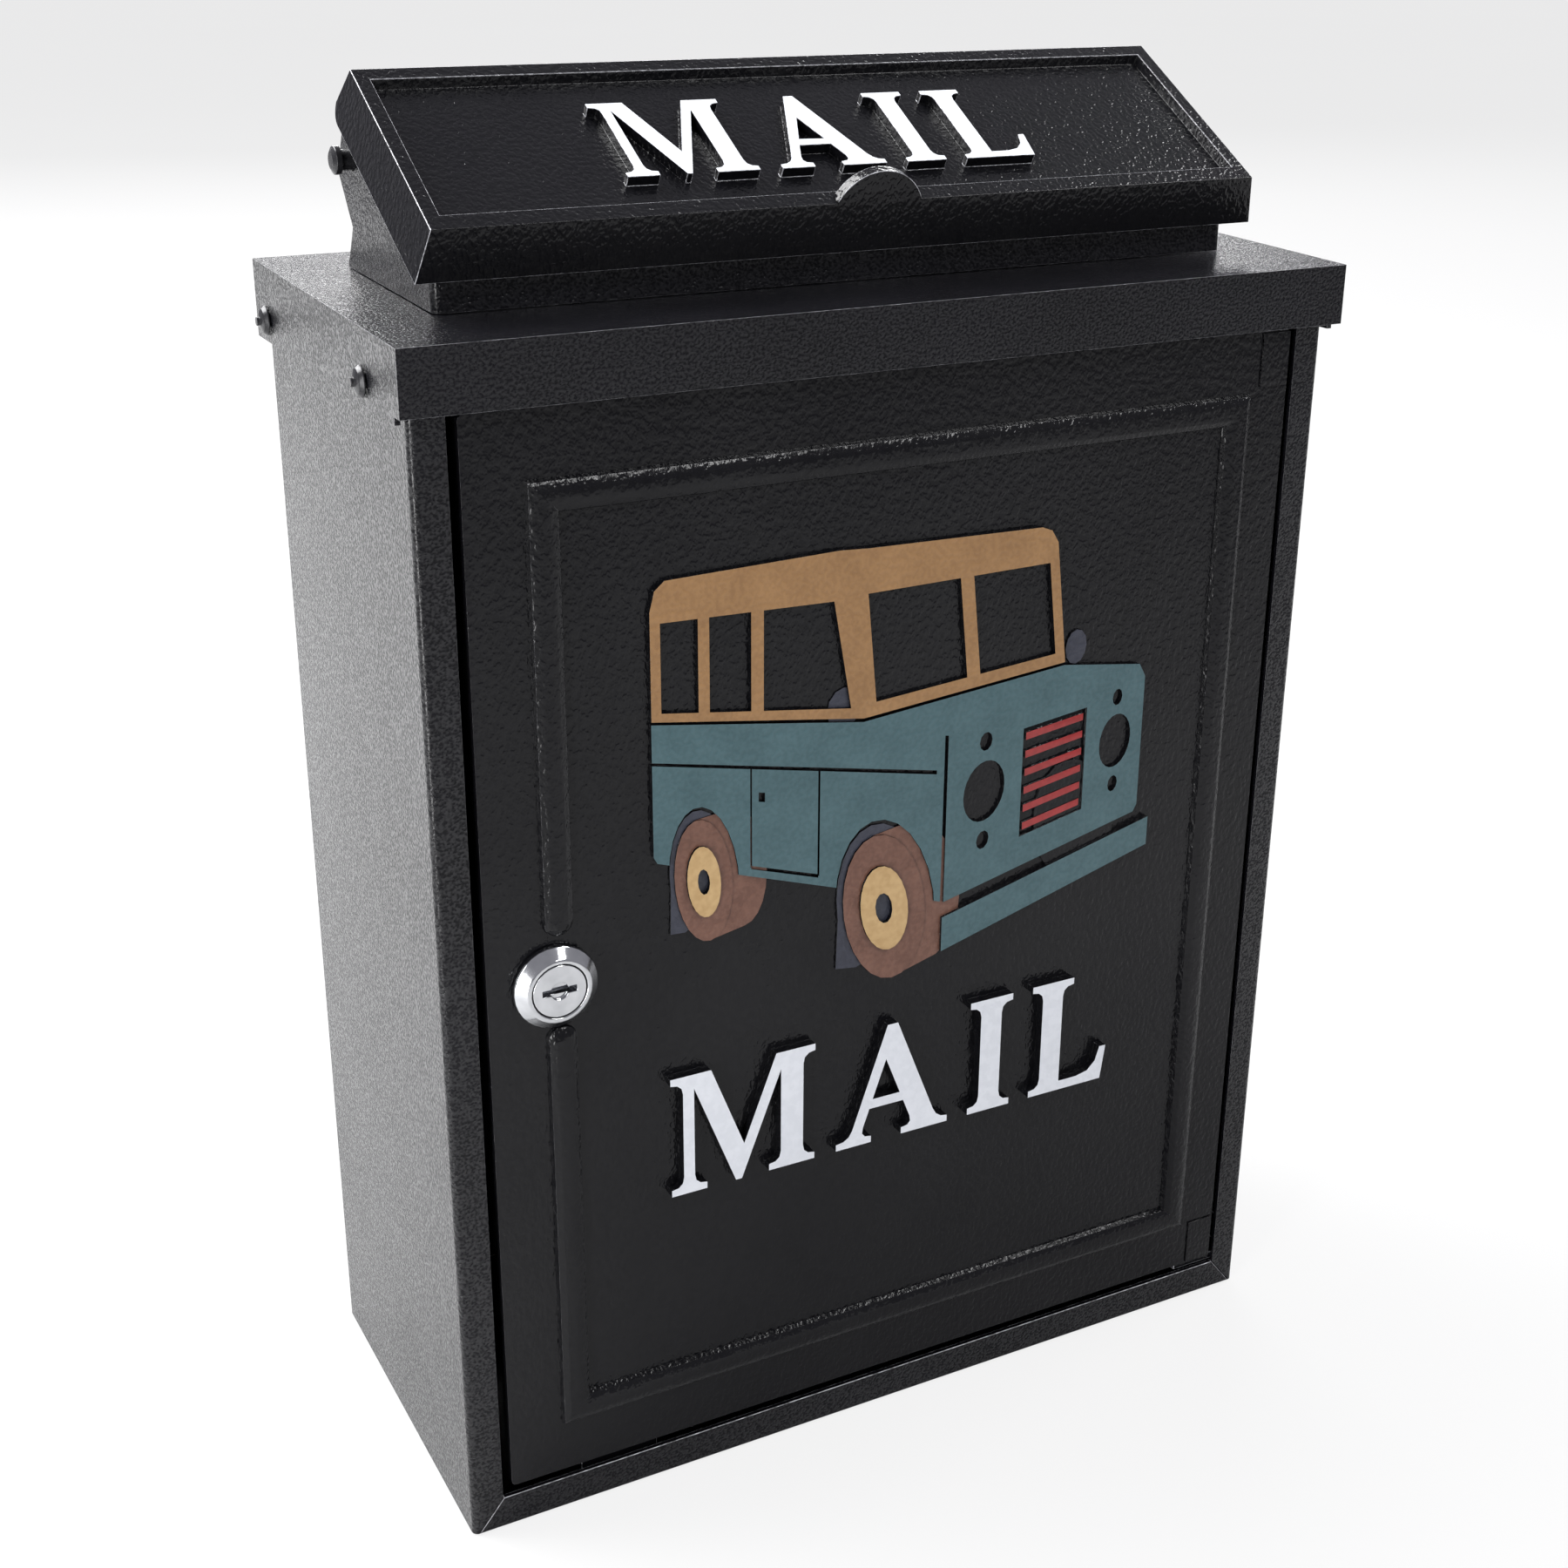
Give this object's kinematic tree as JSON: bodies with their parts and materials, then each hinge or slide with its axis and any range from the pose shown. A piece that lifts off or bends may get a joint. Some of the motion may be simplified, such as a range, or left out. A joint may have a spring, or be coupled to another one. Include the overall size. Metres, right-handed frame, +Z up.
{
  "type": "wall mounted mailbox",
  "caption": "Upright black wall mailbox: folded steel box with a hinged, locking cast door and a sloping hinged lid over a letter chute.",
  "frame": {"origin": "on the wall plane, at the middle of the four wall fixing holes in the box's back", "axes": "+Z up; the wall is the plane y = 0 and the box stands in front of it, so the door faces -Y; +X to the right as seen from the front"},
  "size_m": [0.2822, 0.1238, 0.3941],
  "materials": {
    "sheet": "semi-gloss black powder coat with orange peel on folded steel sheet",
    "casting": "semi-gloss black powder coat with a leathery grain on cast aluminium; relief and letter faces enamelled by hand",
    "fixings": "black painted steel rivets and rod",
    "steel": "zinc plated steel",
    "chrome": "bright chrome"
  },
  "bodies": {
    "box": {"body_wrap": "sheet", "floor_tray": "sheet", "roof_cap": "sheet", "cap_rivet_left_back": "fixings", "cap_rivet_left_front": "fixings", "cap_rivet_right_back": "fixings", "cap_rivet_right_front": "fixings", "chute_neck": "sheet", "lid_rod": "fixings", "rod_cap_left": "fixings", "rod_cap_right": "fixings", "hinge_lug_lower": "sheet", "hinge_lug_upper": "sheet"},
    "lid": {"lid_casting": "casting"},
    "door": {"door_casting": "casting", "door_pin_lower": "steel", "door_pin_upper": "steel", "lock_housing": "chrome", "lock_nut": "steel"},
    "lock": {"lock_plug": "chrome", "lock_cam": "steel", "cam_washer": "steel", "cam_screw": "steel"}
  },
  "joints": [
    {"name": "lid_hinge", "type": "hinge", "parent": "box", "child": "lid", "pos_m": [0, -0.03224, 0.19839], "axis": [-1, 0, 0], "range_deg": [0, 115]},
    {"name": "door_hinge", "type": "hinge", "parent": "box", "child": "door", "pos_m": [0.1184, -0.113, -0.0048], "axis": [0, 0, 1], "range_deg": [0, 95]},
    {"name": "lock_turn", "type": "hinge", "parent": "door", "child": "lock", "pos_m": [-0.1045, -0.119, -0.0032], "axis": [0, 1, 0], "range_deg": [0, 90]}
  ]
}
